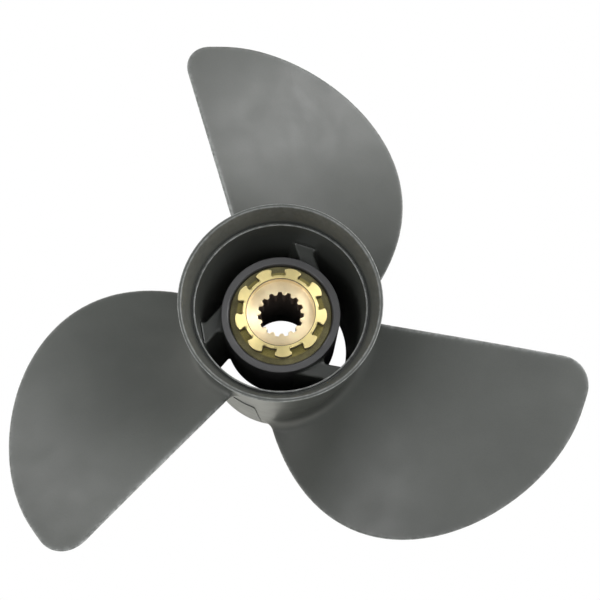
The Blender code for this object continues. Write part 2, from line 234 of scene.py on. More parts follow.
class BladeSizes(bpy.types.PropertyGroup):
    """The blades: helical faces with a straight aft edge and a swept forward edge."""

    number: count("Number", "Number of blades", 3)
    direction: degrees("Direction", "Way that the reference line of the first blade points", 85.0)
    tip_radius: length("Tip radius", "Radius of the blade tips", 189.45 * MM)
    pitch: length("Pitch", "Advance of the helix in one turn at the reference radius", 365.7 * MM)
    pitch_gain: length("Pitch gain", "Gain in pitch one span outside the reference radius", 45.9 * MM)
    rake: degrees("Rake", "Slope of the blade towards aft", 9.5)
    tip_lift: length("Tip lift", "Extra lift one span outside the reference radius", -2.6 * MM)
    span: length("Span", "Distance over which lift and pitch gain are reached", 60.0 * MM)
    reference_radius: length("Reference radius", "Radius where height and pitch are given", 115.0 * MM)
    reference_height: length("Reference height", "Height at the reference radius", 77.1 * MM)
    trailing_direction: degrees("Aft edge direction", "Way that the straight aft edge runs", 23.66)
    trailing_offset: length("Aft edge offset", "Distance of that edge from the axis", 10.6 * MM)
    tip_corner: length("Tip corner", "Radius of the corner between aft edge and tip", 18.0 * MM)
    leading_start: degrees("Forward edge start", "Angle where the forward edge leaves the tip", 17.54)
    leading_tip_handle: length("Tip handle", "Handle of the forward edge at the tip", 74.2 * MM)
    leading_root_handle: length("Root handle", "Handle of the forward edge at the root", 155.6 * MM)
    leading_end_radius: length("Forward edge end", "Radius where the forward edge ends", 37.7 * MM)
    leading_end: degrees("Forward edge end angle", "Angle where the forward edge ends", -70.54)
    leading_slope: degrees("Forward edge end way", "Way of the root handle", -42.97)
    root_thickness: length("Root thickness", "Greatest thickness at the barrel", 12.0 * MM)
    tip_thickness: length("Tip thickness", "Greatest thickness at the tip", 3.0 * MM)
    edge_thickness: length("Edge thickness", "Thickness beside the edges", 2.0 * MM)
    edge_round: length("Edge round", "Width over which the edges are rounded", 1.5 * MM)
    face_fillet: length("Face fillet", "Radius where the faces run into the barrel", 10.0 * MM)
    edge_fillet: length("Edge fillet", "Radius where the edges run into the barrel", 5.0 * MM)


class BushSizes(bpy.types.PropertyGroup):
    """Rubber bush between hub and sleeve."""

    crevice: length("Crevice", "Gap left beside hub and sleeve", 0.2 * MM)
    rounding: length("Rounding", "Radius of its aft edges", 0.6 * MM)
    front_rounding: length("Front rounding", "Radius of its forward edges", 0.5 * MM)


class SleeveSizes(bpy.types.PropertyGroup):
    """Bronze sleeve with a notched flange, a dished mouth and a short spline."""

    radius: length("Radius", "Outside radius of the sleeve", 22.0 * MM)
    bore: length("Bore", "Radius of the plain bore", 16.0 * MM)
    flange_radius: length("Flange radius", "Radius of the tabs at their middle", 28.1 * MM)
    flange_thickness: length("Flange thickness", "Thickness of the tabs", 5.5 * MM)
    tabs: count("Tabs", "Number of tabs", 9)
    tab_direction: degrees("Tab direction", "Way that the first tab points", 35.0)
    notch_root: length("Notch root", "Radius at the bottom of the notches", 23.2 * MM)
    notch_width: length("Notch width", "Width of the notches", 8.0 * MM)
    tab_crown: length("Tab crown", "How far the end of a tab falls back at its corners", 1.2 * MM)
    tab_corner: length("Tab corner", "Radius of the outer corners of a tab", 0.7 * MM)
    notch_corner: length("Notch corner", "Radius of the inner corners of a notch", 0.5 * MM)
    edge: length("Edge", "Radius of the sharp edges", 0.3 * MM)
    # Painted shade: how dark the turned line and the flange's sides are painted
    line_painted_shade: factor("Line grease", "How far dirt fills the turned line", 0.9)
    side_painted_shade: factor("Side grease", "How far grease and dirt cover the sides of the flange", 0.85)
    line_width: length("Line width", "Width of the turned line round the dish", 0.5 * MM)
    line_depth: length("Line depth", "Depth of that line", 0.7 * MM)
    dish_radius: length("Dish radius", "Radius of the mouth of the dish", 20.8 * MM)
    dish_floor_radius: length("Dish floor radius", "Radius of the floor of the dish", 20.6 * MM)
    dish_depth: length("Dish depth", "Depth of the upright wall of the dish", 5.1 * MM)
    mouth_depth: length("Mouth depth", "Depth where the spline starts", 5.5 * MM)
    splines: count("Splines", "Number of spline grooves", 15)
    spline_direction: degrees("Spline direction", "Way that the first groove points", 22.0)
    spline_major: length("Spline major radius", "Radius at the bottom of the grooves", 14.1 * MM)
    spline_minor: length("Spline minor radius", "Radius at the tips of the teeth", 12.2 * MM)
    spline_length: length("Spline length", "Length of the teeth", 14.0 * MM)
    groove_width: length("Groove width", "Width of a spline groove at its bottom", 2.1 * MM)
    flank: factor("Flank", "Widening of a groove on each side for its depth", 0.35)


class FinishColours(bpy.types.PropertyGroup):
    """Colours of paint, rubber and bronze."""

    paint: colour("Paint", "Dark grey paint of the casting", (0.060, 0.063, 0.057))
    hub_paint: colour("Hub paint", "Paint on the hub's aft face", (0.060, 0.059, 0.060))
    # Light colour of worn paint and of the painted highlight on sharp edges
    bare_and_highlight: colour("Worn edge", "Colour that shows through at worn edges", (0.42, 0.43, 0.42))
    rubber: colour("Rubber", "Rubber of the bush", (0.108, 0.094, 0.036))
    bloom: colour("Bloom", "Brown bloom on the rubber", (0.165, 0.145, 0.062))
    # Painted reflection of the bronze tabs on the rubber between them
    tab_reflection: colour("Residue", "Brown residue on the rubber between the tabs", (0.34, 0.285, 0.080))
    bronze: colour("Bronze", "Bronze of the sleeve", (0.97, 0.81, 0.38))
    # Paler, brighter bronze that paints the dish's highlights
    dish_highlight_bronze: colour("Dish bronze", "Freshly turned bronze of the dish", (1.0, 0.83, 0.54))
    # Colour of the painted shade in the turned line, on the flange's sides and down the bore
    painted_shade: colour("Grease", "Dark grease inside the bore", (0.085, 0.055, 0.038))
    paint_roughness: factor("Paint roughness", "Roughness of the paint", 0.35)
    rubber_roughness: factor("Rubber roughness", "Roughness of the rubber", 0.75)
    bronze_roughness: factor("Bronze roughness", "Roughness of the turned faces", 0.45)


class StageSettings(bpy.types.PropertyGroup):
    """Camera, floor and lights."""

    elevation: degrees("Elevation", "Height of the camera above the horizon", 74.04)
    azimuth: degrees("Azimuth", "Turn of the camera about the shaft axis", -2.44)
    roll: degrees("Roll", "Turn of the camera about its own axis", 3.84)
    distance: length("Distance", "Distance from the camera to the point it looks at", 0.493)
    aim_right: length("Aim right", "Point looked at, to the right of the axis", 11.15 * MM)
    lens: bpy.props.FloatProperty(name="Lens", description="Focal length", default=51.46, unit="CAMERA")
    floor_size: length("Floor size", "Side of the floor", 30.0)
    floor_tone: colour("Floor tone", "Colour of the floor as it lights the object", (0.8, 0.79, 0.73))
    # The glow stops short of the barrel, which leaves a painted shadow under it
    floor_glow: factor("Floor glow", "Strength of that floor's own light", 0.65)
    sky_tone: colour("Sky tone", "Colour of the even light from all round", (0.93, 0.97, 1.0))
    sky_strength: factor("Sky strength", "Strength of the even light", 0.40)


def unit(vector):
    """A vector of length one that points the same way."""
    return vector / np.linalg.norm(vector)


def rounded_path(corners, steps=8):
    """Closed outline through corners (x, y, radius), and how much of a sharp edge each point is on.

    Each corner becomes the arc of its radius that touches both sides, centred on the bisector at
    radius / sin(half angle) from the corner. A point either side of the arc keeps the flats flat. An
    arc can be worn, and lit with a painted highlight, in proportion to SHARP_RADIUS / radius.
    """
    points = []
    wear_and_highlight = []
    for i, (x, y, radius) in enumerate(corners):
        here = np.array((x, y))
        if radius == 0.0:
            points.append(here[None])
            wear_and_highlight.append([0.0])
            continue
        back = unit(np.array(corners[i - 1][:2]) - here)
        on = unit(np.array(corners[(i + 1) % len(corners)][:2]) - here)
        half = math.acos(max(-1.0, min(1.0, float(back @ on)))) / 2
        reach = radius / math.tan(half)
        centre = here + unit(back + on) * radius / math.sin(half)
        first = here + back * reach - centre
        last = here + on * reach - centre
        start = math.atan2(first[1], first[0])
        turn = (math.atan2(last[1], last[0]) - start + math.pi) % math.tau - math.pi
        sweep = start + turn * np.linspace(0.0, 1.0, steps + 1)
        arc = centre + radius * np.stack([np.cos(sweep), np.sin(sweep)], axis=1)
        hold = HOLD_SHARE * radius
        points += [(here + back * (reach + hold))[None], arc, (here + on * (reach + hold))[None]]
        sharp = min(1.0, SHARP_RADIUS / radius)
        wear_and_highlight += [[0.0], [sharp] * (steps + 1), [0.0]]
    return np.concatenate(points), np.concatenate(wear_and_highlight)


def grid_quads(rows, columns, wrap_rows=False, first=0):
    """Quads between neighbours of a grid of points whose columns close on themselves."""
    numbers = first + np.arange(rows * columns).reshape(rows, columns)
    below = np.roll(numbers, -1, axis=0) if wrap_rows else numbers[1:]
    above = numbers if wrap_rows else numbers[:-1]
    quads = [above, np.roll(above, -1, axis=1), np.roll(below, -1, axis=1), below]
    return np.stack(quads, axis=-1).reshape(-1, 4)


def signed_volume(points, faces):
    """Sum over the faces of corner . (next corner x last corner), which is positive if they face out."""
    a, b, c = (points[faces[:, i]] for i in (0, 1, 2))
    total = np.einsum("ij,ij->i", a, np.cross(b, c)).sum()
    if faces.shape[1] == 4:
        a, b, c = (points[faces[:, i]] for i in (0, 2, 3))
        total += np.einsum("ij,ij->i", a, np.cross(b, c)).sum()
    return total


def add_piece(name, points, face_groups, material, nodes, marks=None):
    """Puts a closed surface into a mesh, right side out, hangs it on the root body and hides the CAD nodes
    it stands in for.

    Marks are values for each point, by the name that the material reads them under.
    """
    if sum(signed_volume(points, faces) for faces in face_groups) < 0:
        face_groups = [faces[:, ::-1] for faces in face_groups]
    mesh = bpy.data.meshes.new(name)
    mesh.from_pydata(points.tolist(), [], [face for faces in face_groups for face in faces.tolist()])
    mesh.shade_smooth()
    for mark, values in (marks or {}).items():
        attribute = mesh.attributes.new(mark, "FLOAT", "POINT")
        attribute.data.foreach_set("value", np.asarray(values, np.float32).ravel())
    mesh.materials.append(material)
    piece = bpy.data.objects.new(name, mesh)
    bpy.context.scene.collection.objects.link(piece)
    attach(piece, "root")
    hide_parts(*nodes)


def ring(radius, turn, height):
    """Points at a radius, an angle and a height: x = r cos a, y = r sin a, z = height."""
    return np.stack([radius * np.cos(turn), radius * np.sin(turn), FRONT + height + 0 * turn], axis=-1)


def turned_points(profile, columns=TURN_COLUMNS):
    """A profile of (radius, height) carried round the axis in even steps."""
    return ring(profile[:, :1], np.linspace(0.0, math.tau, columns, endpoint=False), profile[:, 1:])


def add_turned(name, corners, material, nodes, wear_and_highlight_share=1.0):
    """A piece turned from a closed outline of corners, its sharp edges worn and lit with a painted highlight
    by a share.
    """
    profile, wear_and_highlight = rounded_path(corners)
    points = turned_points(profile)
    rows, columns = points.shape[:2]
    faces = grid_quads(rows, columns, wrap_rows=True)
    marks = {"wear_and_highlight": wear_and_highlight_share * np.repeat(wear_and_highlight, columns)}
    add_piece(name, points.reshape(-1, 3), [faces], material, nodes, marks)


def flare_radius(s, height):
    """Outside radius of barrel and rim: a slight taper, a flare that opens as a square law, a level band."""
    taper = s.front_radius + (s.waist_radius - s.front_radius) * height / s.waist_height
    share = np.clip((height - s.waist_height) / (LENGTH - s.lip_band - s.waist_height), 0.0, 1.0)
    flare = s.waist_radius + (RIM_RADIUS - s.waist_radius) * share**2
    return np.where(height < s.waist_height, taper, flare)


def bore_radius(s, height):
    """Radius of the barrel's bore, a straight cone from its forward end to the bead."""
    return s.bore_front + (s.bore_aft - s.bore_front) * height / s.bead_height


def hub_side_radius(s, height):
    """Outside radius of the hub tube, which tapers from its shoulder to its aft face."""
    share = (height - s.shoulder_height) / (HUB_TOP - s.shoulder_height)
    return HUB_RADIUS + (s.aft_radius - HUB_RADIUS) * share


def barrel_corners(s):
    """Closed outline of barrel and rim: outside up, over the lip, down the cone, groove, bead and bore.

    Each corner is (radius, height, rounding).
    """
    heights = np.linspace(s.waist_height, LENGTH - s.lip_band, FLARE_ROWS)
    flare = zip(flare_radius(s, heights), heights)
    outside = [(float(radius), float(height), 0.0) for radius, height in flare]
    lip_inside = RIM_RADIUS - s.lip
    bead_outside = s.bore_aft + s.bead_width
    cone_foot = bead_outside + s.groove_width
    floor = s.bead_height - s.groove_depth
    return [
        (s.bore_front, 0.0, 0.8 * MM),
        (s.front_radius, 0.0, 1.2 * MM),
        *outside,
        (RIM_RADIUS, LENGTH, s.lip_edge),
        (lip_inside, LENGTH, s.lip_inner_edge),
        (cone_foot + 0.2 * MM, s.bead_height + 0.5 * MM, 0.15 * MM),
        (cone_foot, floor, 0.25 * MM),
        (bead_outside, floor, 0.25 * MM),
        (bead_outside, s.bead_height, 0.35 * MM),
        (s.bore_aft, s.bead_height, 0.4 * MM),
    ]


def barrel_painted_light(s, profile, sharp):
    """Painted light at each point of the outline, on the cone, the bead and the lip only: a lift over the
    cone, and painted highlights on the sharp edges of bead and lip.
    """
    near = 1.0 * MM
    radius, height = profile.T
    inside = radius < flare_radius(s, height) - near
    on_cone = inside & (radius < RIM_RADIUS - s.lip) & (height > s.bead_height + near)
    on_bead = (radius < s.bore_aft + s.bead_width) & (height > s.bead_height - near)
    on_lip = height > LENGTH - near
    wear_and_highlight = np.where(on_lip, s.lip_highlight, np.where(on_bead, s.bead_highlight, 0.0)) * sharp
    return np.where(on_cone, np.maximum(wear_and_highlight, s.cone_painted_light), wear_and_highlight)


def flash_points(s, steps=90, columns=12, smoothed=5):
    """One parting line of the casting as loops round its section, lying on the outside of the barrel.

    The path is walked in even steps through FLASH_PATH and smoothed over a few of them. The section is
    half an ellipse over the skin, set square to the path, with its foot sunk into the wall. It tapers
    to both ends as sin(pi x share of the path)^0.25.
    """
    angles, heights = np.array(FLASH_PATH).T
    turns = np.radians(angles)
    walked = np.hypot(np.diff(turns) * s.front_radius, np.diff(heights))
    walked = np.concatenate([[0.0], np.cumsum(walked)])
    even = np.linspace(0.0, walked[-1], steps)
    turn, height = (
        np.convolve(
            np.pad(np.interp(even, walked, values), smoothed // 2, mode="edge"),
            np.ones(smoothed) / smoothed,
            mode="valid",
        )
        for values in (turns, heights)
    )
    way = np.stack([np.gradient(turn) * s.front_radius, np.gradient(height)])
    way = way / np.linalg.norm(way, axis=0)
    around = np.linspace(0.0, math.tau, columns, endpoint=False)
    taper = np.sin(math.pi * np.linspace(0.02, 0.98, steps))[:, None] ** 0.25
    across = s.flash_width / 2 * np.cos(around) * taper
    height = height[:, None] + across * way[0][:, None]
    sunk = 0.6 * MM
    out = np.where(np.sin(around) > 0, s.flash_height, sunk) * np.sin(around) * taper
    radius = flare_radius(s, height) + out
    return ring(radius, turn[:, None] - across * way[1][:, None] / radius, height)


def hub_corners(s):
    """Closed outline of hub tube, neck and seat, from the neck's forward face round to its bore.

    Each corner is (radius, height, rounding).
    """
    face_low = HUB_TOP - s.face_drop
    return [
        (s.neck_bore, HUB_FOOT, 0.8 * MM),
        (s.neck_radius, HUB_FOOT, 1.0 * MM),
        (s.neck_radius, s.shoulder_height - s.shoulder_drop, 3.0 * MM),
        (HUB_RADIUS, s.shoulder_height, 3.0 * MM),
        (s.aft_radius, HUB_TOP, s.rounding),
        (s.bore, face_low, s.bore_edge),
        (s.bore, s.seat_height, 0.5 * MM),
        (s.neck_bore, s.seat_height, 0.8 * MM),
    ]


def side_curve(offset, outward, hub, wall, fillets, steps=10):
    """Plan of one side of a rib: a straight line at an offset from the axis, with an arc at each end.

    The arcs touch the line and the circle of the hub or the barrel. An arc's centre lies one fillet
    radius off the line on its free side, at a distance from the axis of hub + fillet or wall - fillet.
    """
    pieces = []
    for circle, fillet, facing in ((hub, fillets[0], -1.0), (wall, fillets[1], 1.0)):
        free = offset + outward * fillet
        reach = circle - facing * fillet
        centre_along = np.sqrt(reach**2 - free**2)
        centre_across = -free
        to_circle = np.arctan2(facing * centre_across, facing * centre_along)
        line_angle = outward * math.pi / 2
        turn = (to_circle - line_angle + math.pi) % math.tau - math.pi
        share = np.linspace(1.0, 0.0, steps + 1) if facing < 0 else np.linspace(0.0, 1.0, steps + 1)
        sweep = line_angle + turn * share[:, None]
        along = centre_along + fillet * np.cos(sweep)
        across = centre_across + fillet * np.sin(sweep)
        pieces.append(np.stack([along, across], axis=-1))
    middle = pieces[0][-1] + (pieces[1][0] - pieces[0][-1]) * np.linspace(0.0, 1.0, steps)[1:-1, None, None]
    return np.concatenate([pieces[0], middle, pieces[1]])


def rib_points(s, barrel, hub):
    """One rib as rows from hub to barrel, each a loop round its section.

    Round the loop, share goes from the inner side (0) to the outer side (1) and height from front to
    aft. Along the rib, the end faces, the last tenth of the way to front and aft, rise into fillets:
    rise = f - sqrt(f^2 - (f - gap)^2) within f of the hub or barrel.
    """
    width = s.far_aft - s.near_aft
    loop, _worn = rounded_path(
        [
            (0.0, RIB_FOOT, s.front_edge),
            (width, RIB_FOOT, s.front_edge),
            (width, RIB_TOP, s.edge),
            (0.0, RIB_TOP, s.edge),
        ]
    )
    share = loop[:, 0] / width
    height = loop[:, 1]
    level = (height - RIB_FOOT) / (RIB_TOP - RIB_FOOT)
    hub_circle = hub_side_radius(hub, height) - SKIN
    wall_circle = bore_radius(barrel, height) + SKIN
    near = s.near_front + (s.near_aft - s.near_front) * level
    far = s.far_front + (s.far_aft - s.far_front) * level
    fillets = [s.front_fillet + (aft - s.front_fillet) * level for aft in (s.hub_fillet, s.wall_fillet)]
    near_curve = side_curve(near, -1.0, hub_circle, wall_circle, fillets)
    far_curve = side_curve(far, 1.0, hub_circle, wall_circle, fillets)
    plan = near_curve + (far_curve - near_curve) * share[:, None]

    distance = np.linalg.norm(plan, axis=-1)
    gap = np.minimum(distance - hub_circle, wall_circle - distance)
    short = np.clip(s.face_fillet - gap, 0.0, s.face_fillet)
    rise = s.face_fillet - np.sqrt(s.face_fillet**2 - short**2)
    middle = (RIB_FOOT + RIB_TOP) / 2
    facing = np.clip((height - middle) / (RIB_TOP - middle), -1.0, 1.0)
    end_band = 0.1
    end_face = np.clip((np.abs(facing) - (1 - end_band)) / end_band, 0.0, 1.0)
    lifted = height + np.sign(facing) * end_face * rise

    inner = plan[:1] * (1 - BURIED / distance[:1, :, None])
    outer = plan[-1:] * (1 + BURIED / distance[-1:, :, None])
    plan = np.concatenate([inner, plan, outer])
    lifted = np.concatenate([lifted[:1], lifted, lifted[-1:]])
    return np.concatenate([plan, FRONT + lifted[..., None]], axis=-1)


def capped_quads(rows, columns, tip_closed):
    """Quads of a tube of loops, and quads across its last loop between its two mirrored halves.

    With tip_closed, the first loop's halves are folded onto each other, which closes that end too.
    """
    quads = grid_quads(rows, columns)
    half = columns // 2
    step = np.arange(half)
    last = (rows - 1) * columns
    mirror = (columns - step) % columns
    mirror_next = columns - step - 1
    cap = np.stack([last + step, last + step + 1, last + mirror_next, last + mirror], axis=-1)
    if tip_closed:
        folded = np.arange(rows * columns)
        folded[half + 1 : columns] = columns - np.arange(half + 1, columns)
        return [folded[quads], folded[cap]]
    return [quads, cap]


def fan_cap(row, columns, centre):
    """Triangles from a loop of a grid to one point."""
    loop = row * columns + np.arange(columns)
    return np.stack([loop, np.roll(loop, -1), np.full(columns, centre)], axis=-1)


def closed_tube(rows, columns):
    """Quads of a tube of loops, closed across between its two halves at both ends."""
    quads, last_cap = capped_quads(rows, columns, tip_closed=False)
    step = np.arange(columns // 2)
    first_cap = np.stack([step, step + 1, columns - step - 1, (columns - step) % columns], axis=-1)
    return np.concatenate([quads, last_cap, first_cap[:, ::-1]])


def outwards(points, faces):
    """Faces turned round where they point inwards."""
    return faces if signed_volume(points, faces) >= 0 else faces[:, ::-1]


def turned_copies(points, number, first=0.0):
    """Points turned about the axis to each of a number of even places, the first of them at an angle."""
    for place in range(number):
        matrix = Matrix.Rotation(first + place * math.tau / number, 3, "Z")
        yield points.reshape(-1, 3) @ np.array(matrix).T


def trailing_outline(s):
    """Radius and angle along the aft edge, from inside the barrel: a straight line, then an arc."""
    start = 30.0 * MM
    inside = s.tip_radius - s.tip_corner
    sunk = s.trailing_offset - s.tip_corner
    along_corner = math.sqrt(inside**2 - sunk**2)
    line = np.linspace(start, along_corner, TRAILING_POINTS)
    straight = np.stack([line, np.full_like(line, s.trailing_offset)], axis=1)
    centre = np.array([along_corner, sunk])
    turn = np.linspace(math.pi / 2, math.atan2(sunk, along_corner), TRAILING_POINTS)[1:]
    arc = centre + s.tip_corner * np.stack([np.cos(turn), np.sin(turn)], axis=1)
    points = np.concatenate([straight, arc])
    return np.hypot(*points.T), np.arctan2(points[:, 1], points[:, 0]) + s.trailing_direction


def leading_outline(s):
    """Radius and angle along the forward edge: one cubic curve from the tip circle into the hub.

    Its points crowd towards the tip.
    """
    start = s.tip_radius * np.array([math.cos(s.leading_start), math.sin(s.leading_start)])
    start_way = np.array([math.sin(s.leading_start), -math.cos(s.leading_start)])
    end = s.leading_end_radius * np.array([math.cos(s.leading_end), math.sin(s.leading_end)])
    end_way = np.array([math.cos(s.leading_slope), math.sin(s.leading_slope)])
    t = (np.linspace(0.0, 1.0, LEADING_POINTS) ** 1.5)[:, None]
    points = (
        (1 - t) ** 3 * start
        + 3 * (1 - t) ** 2 * t * (start + s.leading_tip_handle * start_way)
        + 3 * (1 - t) * t**2 * (end + s.leading_root_handle * end_way)
        + t**3 * end
    )
    return np.hypot(*points.T)[::-1], np.arctan2(points[:, 1], points[:, 0])[::-1]


def nearest_gap(radius, angle, outline, parts=40):
    """Distance in plan from each point to the closest point of an outline of (radius, angle).

    The points are taken in parts, to save memory.
    """
    edge = np.stack([outline[0] * np.cos(outline[1]), outline[0] * np.sin(outline[1])], axis=-1)
    flat = np.stack([radius * np.cos(angle), radius * np.sin(angle)], axis=-1).reshape(-1, 2)
    best = np.empty(len(flat))
    for part in np.array_split(np.arange(len(flat)), parts):
        best[part] = np.sqrt(((flat[part, None] - edge) ** 2).sum(axis=-1).min(axis=1))
    return best.reshape(radius.shape)


def blade_section(s, barrel, radius, chord, aft_side):
    """Angle and height of points on the two faces of a blade, before its root fillet.

    The aft face is a helix, height = pitch x angle / 2 pi, whose pitch grows in proportion to the
    radius. It is raked aft in proportion to the radius and lifted by a square law. The forward face
    lies the thickness away from it, square to the helix on the cylinder of that radius: a parabola from
    edge to edge on top of the thickness of the edge, whose height grows from tip to barrel as share^1.3.
    Towards the edges the offset falls to nothing as a quarter circle, so aft and forward faces meet in a
    round edge.
    """
    trailing, leading = trailing_outline(s), leading_outline(s)
    start = np.interp(radius, *trailing)
    end = np.interp(radius, *leading)
    angle = start + (end - start) * chord
    out = (radius - s.reference_radius) / s.span
    advance = (s.pitch + s.pitch_gain * out) / math.tau
    height = s.reference_height + advance * angle + math.tan(s.rake) * s.span * out + s.tip_lift * out**2

    tip_arc = np.linspace(leading[1][-1], trailing[1][-1], TIP_POINTS)
    tip = (np.full_like(tip_arc, s.tip_radius), tip_arc)
    whole = [np.concatenate(parts) for parts in zip(trailing, leading, tip)]
    gap = nearest_gap(radius, angle, whole)
    edge = np.sqrt(1 - (1 - np.clip(gap / s.edge_round, 0.0, 1.0)) ** 2)
    inwards = np.clip((s.tip_radius - radius) / (s.tip_radius - barrel.front_radius), 0.0, 1.0)
    middle = s.tip_thickness + (s.root_thickness - s.tip_thickness) * inwards**1.3
    belly = 4 * chord * (1 - chord)
    thickness = s.edge_thickness + (middle - s.edge_thickness) * belly
    offset = np.where(aft_side, s.edge_thickness / 2, s.edge_thickness / 2 - thickness) * edge

    slope = advance / radius
    square = np.sqrt(1 + slope**2)
    return angle - offset * slope / square / radius, height + offset / square, gap


def fillet_push(radius, angle, height, push):
    """Moves each loop of points outwards by push, square to the loop on its own cylinder.

    The ways are smoothed along the loop, (before + 2 x here + after) / 4 several times, so that they
    fan out evenly round the sharp edges.
    """
    ahead = np.roll(angle, -1, axis=1) - np.roll(angle, 1, axis=1)
    up = np.roll(height, -1, axis=1) - np.roll(height, 1, axis=1)
    around = radius * ahead
    way = np.stack([up, -around]) / np.maximum(np.hypot(around, up), 1e-9)
    for _ in range(FAN_PASSES):
        way = (np.roll(way, 1, axis=2) + 2 * way + np.roll(way, -1, axis=2)) / 4
    way = way / np.linalg.norm(way, axis=0)
    return angle + push * way[0] / radius, height + push * way[1]


def blade_points(s, barrel, half=110, rows=140, fillet_rows=14, rounds=3):
    """One blade as loops round its section, from the tip down into the wall of the barrel.

    Loop points 0 to half lie on the aft face from aft edge to forward edge, and the rest come back on
    the forward face. In the fillet the radius falls as f (1 - sin t) while the loop grows as
    f (1 - cos t), a quarter circle that ends along the barrel. Where it meets the barrel depends on its
    height there, and is found in a few rounds. Returns the points and how far each edge point is worn
    and lit with a painted highlight.
    """
    loop = np.arange(2 * half)[None, :]
    chord = (1 - np.cos(math.pi * loop / half)) / 2
    aft_side = loop <= half
    fillet = s.edge_fillet + (s.face_fillet - s.edge_fillet) * np.sqrt(4 * chord * (1 - chord))

    wall = np.full(chord.shape, barrel.waist_radius)
    for _ in range(rounds):
        angle, height, _gap = blade_section(s, barrel, wall, chord, aft_side)
        height = fillet_push(wall, angle, height, fillet)[1]
        wall = flare_radius(barrel, height) - SKIN

    out = np.linspace(0.0, 1.0, rows + 1)[:, None]
    turn = np.linspace(0.0, math.pi / 2, fillet_rows + 1)[1:, None]
    span = s.tip_radius - (s.tip_radius - wall - fillet) * out**2
    bend = wall + fillet * (1 - np.sin(turn))
    radius = np.concatenate([span, bend, wall - BURIED])
    push = np.concatenate([0 * span, fillet * (1 - np.cos(turn)), fillet])
    angle, height, gap = blade_section(s, barrel, radius, np.broadcast_to(chord, radius.shape), aft_side)
    angle, height = fillet_push(radius, angle, height, push)
    points = ring(radius, angle, height)
    # Edge wear with a painted highlight: strongest at the edges, none near the root fillet
    away = np.clip((radius - wall - fillet) / WEAR_AND_HIGHLIGHT_CLEAR, 0.0, 1.0)
    return points, np.exp(-gap / WEAR_AND_HIGHLIGHT_WIDTH) * away


def tab_outline(s, shrink):
    """Outline of the notched flange, drawn in by shrink: crowned tab ends and notches of even width.

    One tab is drawn round the +X axis: half of the notch root, the notch side, the end of the tab, and
    the same mirrored. The end's radius falls back as crown x (angle / half angle)^2, and its points stay
    clear of the rounded corners. The tab is then turned once for each tab.
    """
    step = math.tau / s.tabs
    root = s.notch_root - shrink
    middle = s.flange_radius - shrink
    top = middle - s.tab_crown
    half_notch = s.notch_width / 2 + shrink
    low = step / 2 - math.asin(half_notch / root)
    high = step / 2 - math.asin(half_notch / top)
    corner = s.tab_corner - shrink
    inner_corner = s.notch_corner + shrink
    clear = 1.0 - 1.8 * corner / top / high
    end = [(middle - s.tab_crown * way**2, high * way, 0.0) for way in np.linspace(-clear, clear, 11)]
    arcs = [(root, angle, 0.0) for angle in np.linspace(-step / 2, -low, 5)[:-1]]
    arcs += [(root, -low, inner_corner), (top, -high, corner), *end, (top, high, corner)]
    arcs += [(root, low, inner_corner)]
    arcs += [(root, angle, 0.0) for angle in np.linspace(low, step / 2, 5)[1:-1]]
    turns = step * np.arange(s.tabs) + s.tab_direction
    corners = [
        (radius * math.cos(turn + angle), radius * math.sin(turn + angle), rounding)
        for turn in turns
        for radius, angle, rounding in arcs
    ]
    return rounded_path(corners, steps=6)[0]


def spline_radius(s, turn, grow=0.0):
    """Radius of the splined bore at an angle: grooves with sloping flanks, between tooth tip and bottom.

    On a flank, radius x sin(angle) = half width + flank x (major radius - radius), solved for the
    radius. Smooth least and greatest values, (a + b -/+ sqrt((a - b)^2 + soft^2)) / 2, round the corners.
    """
    step = math.tau / s.splines
    away = (turn - s.spline_direction + step / 2) % step - step / 2
    low, high = s.spline_minor + grow, s.spline_major + grow
    side = (s.groove_width / 2 + grow + s.flank * high) / (np.abs(np.sin(away)) + s.flank)
    soft = 0.25 * MM
    high_cut = (side + high - np.sqrt((side - high) ** 2 + soft**2)) / 2
    return (high_cut + low + np.sqrt((high_cut - low) ** 2 + soft**2)) / 2


def zip_rings(angles_a, first_a, angles_b, first_b):
    """Triangles between two rings with different counts of points, in the order of their angles."""
    order_a, order_b = np.argsort(angles_a), np.argsort(angles_b)
    sorted_a, sorted_b = angles_a[order_a], angles_b[order_b]
    beside_a = np.searchsorted(sorted_b, np.append(sorted_a[1:], np.inf)) % len(sorted_b)
    beside_b = np.searchsorted(sorted_a, np.append(sorted_b[1:], np.inf), side="right") % len(sorted_a)
    ring_a, ring_b = first_a + order_a, first_b + order_b
    with_a = np.stack([ring_a, np.roll(ring_a, -1), ring_b[beside_a - 1]], axis=-1)
    with_b = np.stack([np.roll(ring_b, -1), ring_b, ring_a[beside_b - 1]], axis=-1)
    return np.concatenate([with_a, with_b])


